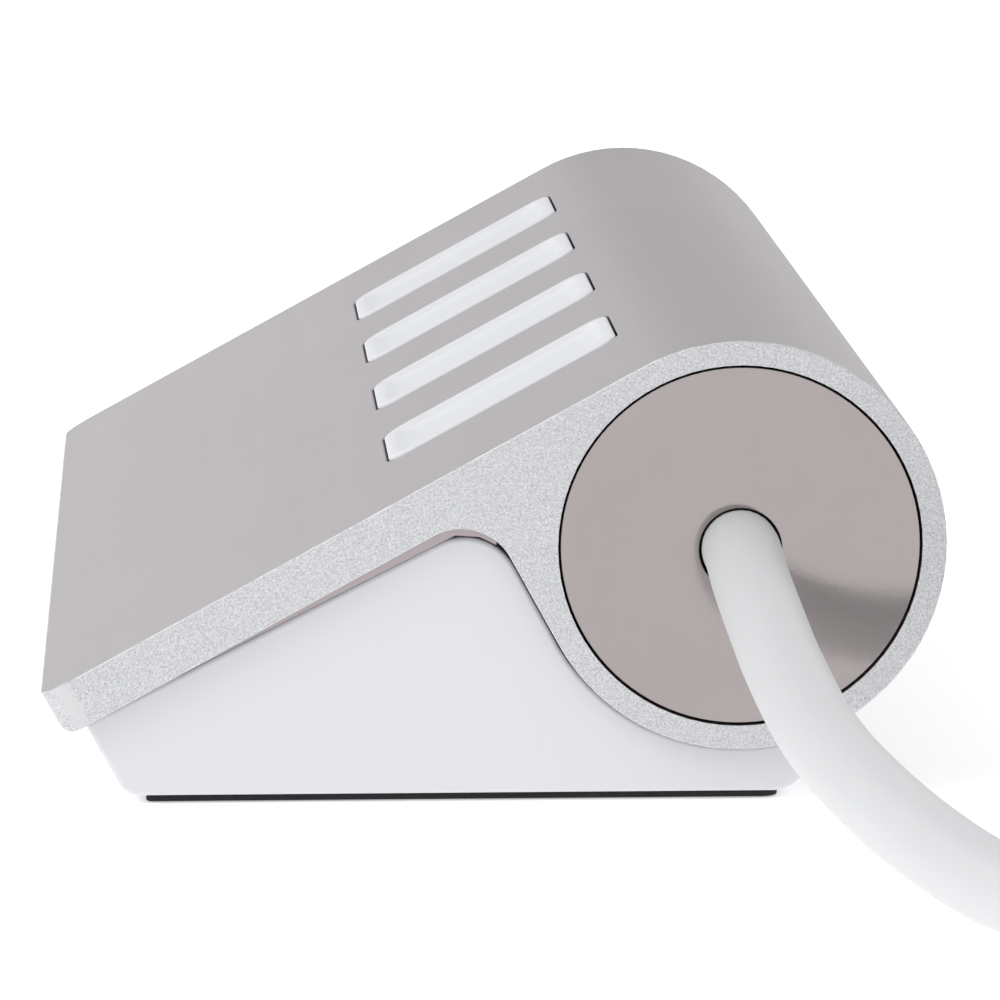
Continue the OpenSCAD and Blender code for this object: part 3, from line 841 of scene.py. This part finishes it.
dress(black_plastic, "switch_bodies")
connector_cream = cream("connector_cream", (0.66, 0.63, 0.54), (0.78, 0.75, 0.66))
dress(connector_cream, *[f"switch_plunger_{n}" for n in (1, 2, 3, 4)])
dress(cream("light_lens", (0.78, 0.72, 0.42), (0.88, 0.84, 0.60)), "key_lights")
contact_gold = gold("contact_gold")
dress(contact_gold, "board_link")


def laminate(name):
    """Circuit board: green mask over copper runs, which show as slightly paler raised lines."""
    f = Finish(name)
    grid = {"Scale": 260.0, "Mortar Size": 0.035, "Brick Width": 1.3, "Row Height": 0.32}
    runs = f.add(
        "ShaderNodeTexBrick",
        {"offset": 0.37, "squash": 1.6},
        {"Vector": f.stretched((1.0, 1.0, 0.0)), **grid},
        out="Fac",
    )
    weave = f.noise(2400.0, 2.0)
    return f.done(
        Base_Color=f.blend(runs, (0.006, 0.075, 0.035), (0.02, 0.16, 0.075)),
        Roughness=weave * 0.15 + 0.25,
        Normal=f.bump(runs * 0.8 + weave * 0.2, 0.3, 0.00003),
    )


board_green = laminate("board_laminate")
dress(board_green, "key_board")

# --- Board parts ----------------------------------------------------------------------------
# The main board with the hub chip, its crystal, the bulk capacitors and the supply coil, and the
# lead's conductors with their small connector.
dress(board_green, "main_board")
dress(black_plastic, "hub_chip")
dress(bright_metal, "crystal")
dress(connector_cream, "header_plug", "board_header")


def can(name):
    """Drawn aluminium can of a capacitor, with a fine vertical brush."""
    f = Finish(name)
    drawn = f.noise(2200.0, 2.0, 0.5, f.stretched((1.0, 1.0, 0.06)))
    return f.done(
        Base_Color=f.blend(drawn, (0.55, 0.55, 0.57), (0.72, 0.72, 0.74)),
        Metallic=1.0,
        Roughness=drawn * 0.2 + 0.25,
        Normal=f.bump(drawn, 0.15, 0.00003),
    )


dress(can("capacitor_can"), "board_capacitors")
dress(moulded("coil_ferrite", (0.035, 0.036, 0.04), (0.07, 0.07, 0.075), 0.6, 2200.0, 0.5), "power_coil")


def conductor(name):
    """Thin wire insulation: red, glossy from the extruder, with faint printed dashes."""
    f = Finish(name)
    dash = f.noise(700.0, 1.0, 0.5, f.stretched((1.0, 0.3, 1.0))).ramp(0.55, 0.65)
    return f.done(
        Base_Color=f.blend(dash, (0.38, 0.02, 0.018), (0.50, 0.06, 0.05)),
        Roughness=f.noise(3000.0) * 0.15 + 0.28,
    )


dress(conductor("wire_red"), "lead_wires")

# --- Sockets --------------------------------------------------------------------------------
# Four sockets that face the back of the tube: a folded nickel shell, a blue tongue with gold
# contacts, and a white frame that fills the milled window round each of them.
dress(nickel("socket_nickel"), *[f"port_shell_{n}" for n in (1, 2, 3, 4)])
dress(insulator("socket_blue"), "port_tongues")
dress(contact_gold, "port_contacts")
frame_white = moulded("frame_white", (0.74, 0.765, 0.80), (0.80, 0.82, 0.85), 0.42, relief=0.12, coat=0.15)
frames = broken_edges("port_frames", "socket_frames", frame_white, 0.00008)
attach(frames, "hub")
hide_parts("port_frames")
